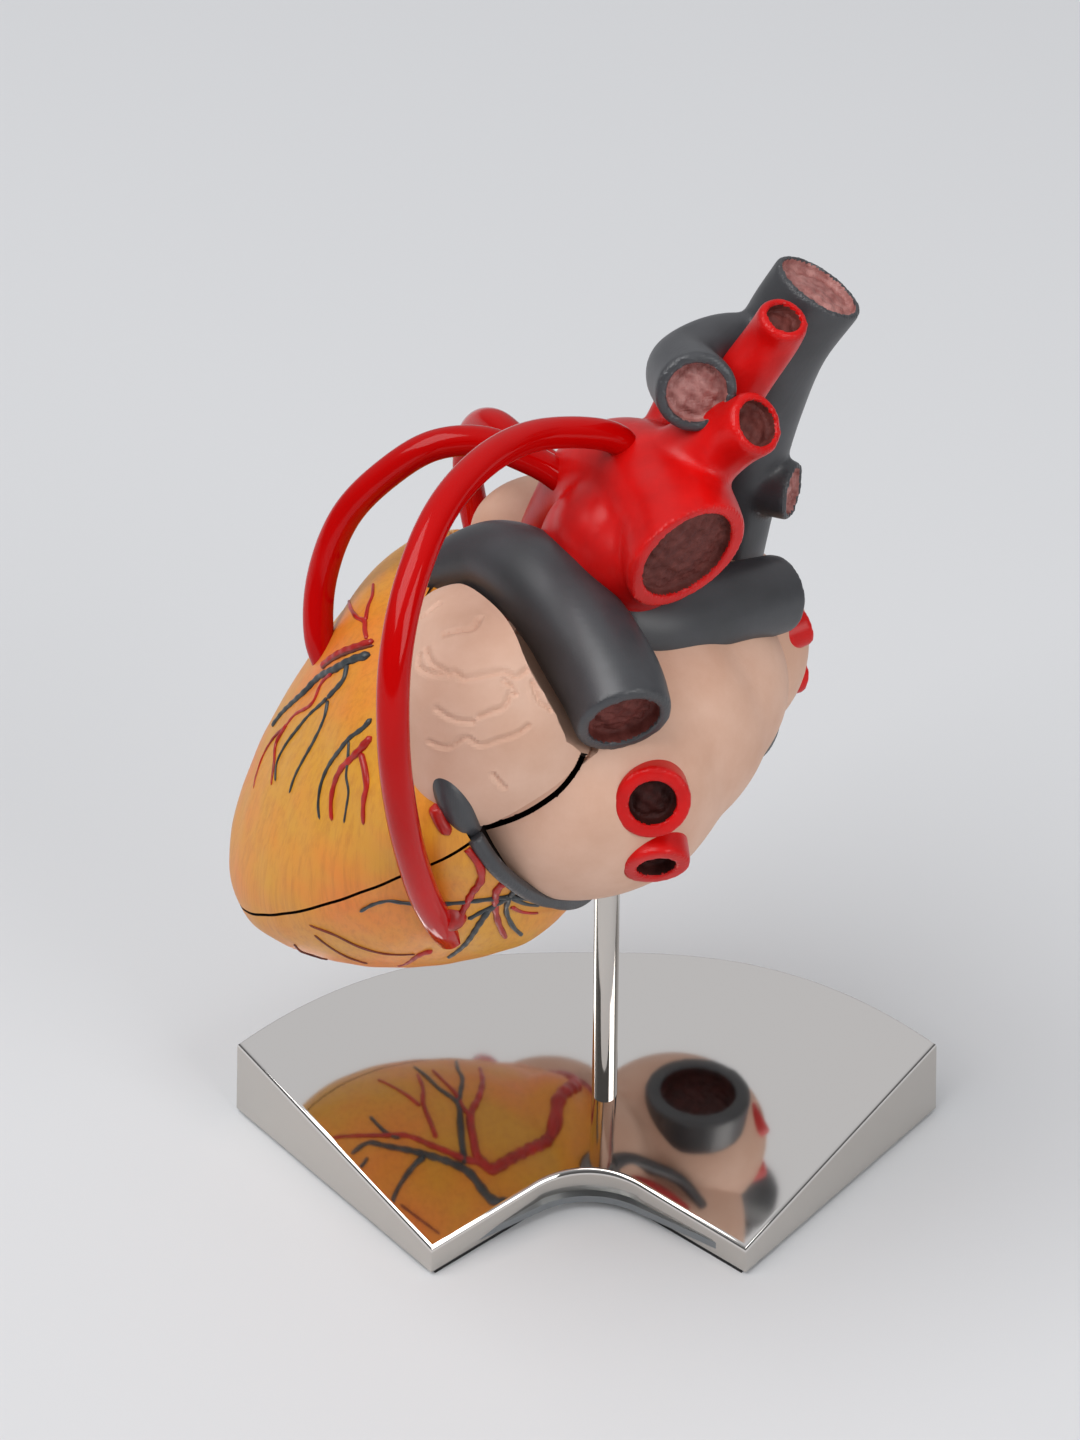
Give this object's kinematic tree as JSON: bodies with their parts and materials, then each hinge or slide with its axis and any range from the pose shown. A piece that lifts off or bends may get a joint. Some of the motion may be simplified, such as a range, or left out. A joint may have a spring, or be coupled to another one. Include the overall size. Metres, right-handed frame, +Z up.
{
  "type": "anatomical heart model on stand",
  "caption": "Life-size anatomical heart in separate castings with vessel stumps, tube bypass grafts and a lift-off front wall, on a rod and a fan-shaped polished metal base.",
  "frame": {"origin": "on the table plane, on the axis of the stand's rod", "axes": "+Z up; -Y towards the viewer of the picture, where the base is narrow and the heart shows its left and back; +X to the viewer's right, away from the apex"},
  "size_m": [0.1424, 0.1043, 0.1924],
  "materials": {
    "muscle": "satin lacquer over brushed ochre and orange paint",
    "atrium": "matt pinkish beige paint",
    "red_vessel": "satin red paint",
    "blue_grey_vessel": "satin dark slate paint, worn lighter on the crests",
    "graft_tube": "very glossy red, flexible tube",
    "valve": "matt cream",
    "inner_muscle": "matt reddish brown",
    "magnet": "nickel plated",
    "sleeve": "turned",
    "chrome": "mirror polished on top, satin on the side walls",
    "pad": "matt black",
    "fixing": "zinc plated"
  },
  "bodies": {
    "stand": {"base_shell": "chrome", "base_cover": "fixing", "base_pad": "pad", "cover_screw_1": "fixing", "cover_screw_2": "fixing", "cover_screw_3": "fixing", "cover_screw_4": "fixing", "stand_rod": "chrome", "rod_washer": "fixing", "rod_nut": "fixing"},
    "sleeve": {"rod_sleeve": "sleeve"},
    "rear_heart": {"rear_ventricle_wall": "muscle", "ventricular_septum": "inner_muscle", "left_atrium": "atrium", "right_atrium": "atrium", "right_auricle": "atrium", "aorta": "red_vessel", "pulmonary_arteries": "blue_grey_vessel", "superior_vena_cava": "blue_grey_vessel", "inferior_vena_cava": "blue_grey_vessel", "upper_left_pulmonary_vein": "red_vessel", "lower_left_pulmonary_vein": "red_vessel", "upper_right_pulmonary_vein": "red_vessel", "lower_right_pulmonary_vein": "red_vessel", "coronary_sinus": "blue_grey_vessel", "marginal_artery": "red_vessel", "right_coronary_artery": "red_vessel", "graft_to_margin": "graft_tube", "graft_to_right": "graft_tube", "mitral_valve": "valve", "tricuspid_valve": "valve", "aortic_valve": "valve", "pulmonary_valve": "valve", "papillary_muscle_1": "inner_muscle", "papillary_muscle_2": "inner_muscle", "papillary_muscle_3": "inner_muscle", "rear_magnet_1": "magnet", "rear_magnet_2": "magnet", "rear_magnet_3": "magnet"},
    "front_heart": {"front_ventricle_wall": "muscle", "left_auricle": "atrium", "great_cardiac_vein": "blue_grey_vessel", "front_descending_artery": "red_vessel", "anterior_vein": "blue_grey_vessel", "graft_to_front": "graft_tube", "front_magnet_1": "magnet", "front_magnet_2": "magnet", "front_magnet_3": "magnet"}
  },
  "joints": [
    {"name": "lift_off", "type": "slide", "parent": "stand", "child": "sleeve", "axis": [0, 0, 1], "range_m": [0, 0.06]},
    {"name": "heart_turn", "type": "hinge", "parent": "sleeve", "child": "rear_heart", "pos_m": [0, 0, 0.086], "axis": [0, 0, 1], "continuous": true},
    {"name": "front_wall_removal", "type": "slide", "parent": "rear_heart", "child": "front_heart", "axis": [-0.8184, 0.1996, 0.5389], "range_m": [0, 0.08]}
  ]
}
